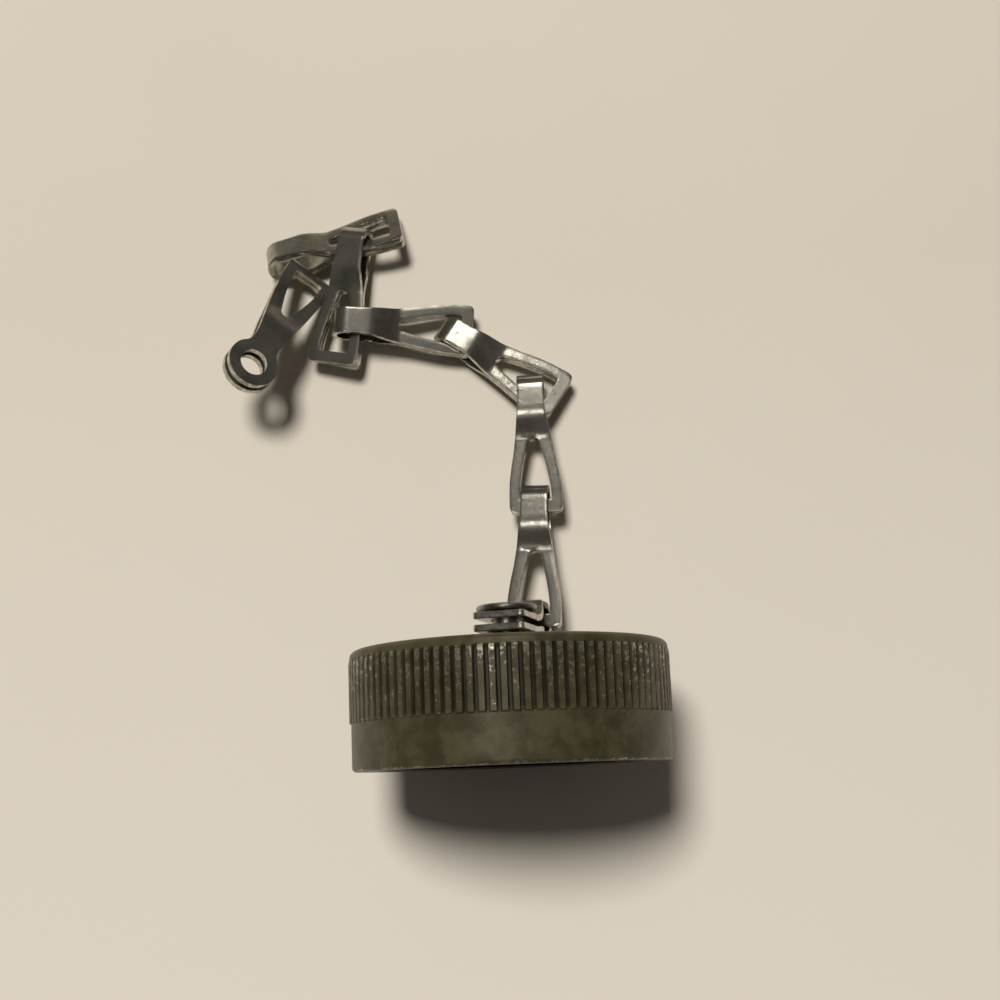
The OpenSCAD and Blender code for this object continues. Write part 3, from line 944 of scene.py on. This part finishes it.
eye_end = eye_reach + eye_r - 0.02
eye_apex = window_start + eye_window_len
ring_stops = [eye_reach + eye_hole_r * math.sin(math.radians(a)) for a in range(-90, 91, 12)]
rim_stops = [eye_reach + eye_r * math.sin(math.radians(a)) for a in (60, 66, 72, 77, 81)] + [eye_end]
window_stops = [
    window_start, window_start + .1, window_start + .35, eye_apex - .7, eye_apex - .46, eye_apex - .27,
    eye_apex - .12, eye_apex - .03, eye_apex]
eye_xs = stations(eye_bend, eye_end, window_stops + ring_stops + rim_stops)
print("rows along one leaf of the eye terminal:", len(eye_xs))

# %% Make the eye terminal
upper = [(x, eye_spread(x), x) for x in reversed(eye_xs)]
bend_steps = 12
bend_angles = [math.pi * i / bend_steps for i in range(1, bend_steps)]
bend = [(eye_bend - flat_z * math.sin(a), flat_z * math.cos(a), eye_bend) for a in bend_angles]
lower = [(x, -z, x) for x, z, _ in reversed(upper)]
eye_openings = [
    (window_start, eye_apex, lambda x: window(x, eye_window_len, eye_apex_r)),
    (eye_reach - eye_hole_r, eye_reach + eye_hole_r, lambda x: round_hole(x, eye_reach, eye_hole_r))]
make_chain_piece("eye", upper + bend + lower, eye_half_width, eye_openings,
                 (-22.41, 58.75, -13.98), (-24.6, -26.8, 245.4), "eye_terminal")

# %% [markdown]
# The photograph was taken on a pale, warm grey table.
# A wide flat sheet with a very fine grain stands in for it, and it is stage, not part of the object.
# Its colour is painted a little lighter towards the near side: painted light, where the room's light reaches
# it.

# %% The table
def build_table_finish():
    material, tree, shader = new_material("pale_table", Metallic=0.0)
    cloud = place_group(tree, grime_patches, Patch_Scale=9.0, Cover=0.5, Softness=0.4)
    # the lightest colour is painted light for the near side of the table
    sheet, cloudy_sheet, painted_light_sheet = (0.64, 0.59, 0.50, 1), (0.61, 0.56, 0.475, 1), (0.73, 0.68, 0.595, 1)
    colour = mix_colour(tree, cloud, sheet, cloudy_sheet)
    place = add_node(tree, "ShaderNodeTexCoord").outputs["Object"]
    along = add_node(tree, "ShaderNodeSeparateXYZ", {0: place}).outputs["Y"]
    far_y, near_y = 60 * MM, -40 * MM
    # painted light: the sheet's colour turns lighter towards the near side
    colour = mix_colour(tree, spread_range(tree, along, far_y, near_y), colour, painted_light_sheet)
    tree.links.new(colour, shader.inputs["Base Color"])
    grain = place_group(tree, tool_marks, Stretch=(1.0, 1.0, 1.0), Mark_Scale=900.0)
    tree.links.new(mix_value(tree, grain, 0.55, 0.75), shader.inputs["Roughness"])
    return material


def lay_table(height, half):
    bm = bmesh.new()
    steps = 8
    lines = [-half + 2 * half * i / steps for i in range(steps + 1)]
    grid = [[bm.verts.new((x, y, height)) for y in lines] for x in lines]
    for i in range(steps):
        for j in range(steps):
            bm.faces.new((grid[i][j], grid[i + 1][j], grid[i + 1][j + 1], grid[i][j + 1]))
    bmesh.ops.recalc_face_normals(bm, faces=bm.faces)
    return new_mesh_object("table_top", bm)


table_half = 2.0
table_top = lay_table(table_z * MM, table_half)
table_top.data.materials.append(build_table_finish())
print("table height in mm:", table_z)

# %% [markdown]
# The light comes from a soft lamp above the table, a little towards the top of the picture.
# The shadows lie below each piece and have soft edges, so the lamp is wide and not far away.
# Flat metal would mirror that lamp as one white patch, so rays off shiny faces don't see it.
# Two weaker lamps are seen by those rays only. They make the small glints on the folds.
# A dim warm world fills the shadows, and the camera sees the same world as a pale background.

# %% Lamps
def add_lamp(name, place, target, size, power, colour):
    data = bpy.data.lights.new(name, "AREA")
    data.shape, data.size, data.energy, data.color = "DISK", size, power, colour
    lamp = bpy.data.objects.new(name, data)
    lamp.location = place
    lamp.rotation_euler = (Vector(target) - Vector(place)).to_track_quat("-Z", "Y").to_euler()
    bpy.context.collection.objects.link(lamp)
    return lamp


aim = (0.0, 0.02, 0.0)
key = add_lamp("ceiling_lamp", (-0.13, 0.32, 0.93), aim, size=0.26, power=10.3, colour=(1.0, 0.97, 0.93))
key.visible_glossy = False
glints = (("high_glint", (-0.16, 0.05, 0.98), 1.0), ("window_glint", (-0.05, 0.60, 0.80), 1.5))
for name, place, power in glints:
    glint = add_lamp(name, place, aim, size=0.24, power=power, colour=(1.0, 0.98, 0.94))
    glint.visible_diffuse = False

# %% World
fill_light, mirrored_room, seen_background = 0.08, 0.075, 0.8
world = bpy.data.worlds.new("room")
bpy.context.scene.world = world
world.use_nodes = True
room = world.node_tree
background = room.nodes["Background"]
path_info = add_node(room, "ShaderNodeLightPath")
background.inputs["Color"].default_value = (0.93, 0.85, 0.79, 1)
unseen = mix_value(room, path_info.outputs["Is Glossy Ray"], fill_light, mirrored_room)
strength = mix_value(room, path_info.outputs["Is Camera Ray"], unseen, seen_background)
feed(room, background.inputs["Strength"], strength)
bpy.context.scene.view_settings.view_transform = "Standard"
print("world:", world.name, "with a view transform of", bpy.context.scene.view_settings.view_transform)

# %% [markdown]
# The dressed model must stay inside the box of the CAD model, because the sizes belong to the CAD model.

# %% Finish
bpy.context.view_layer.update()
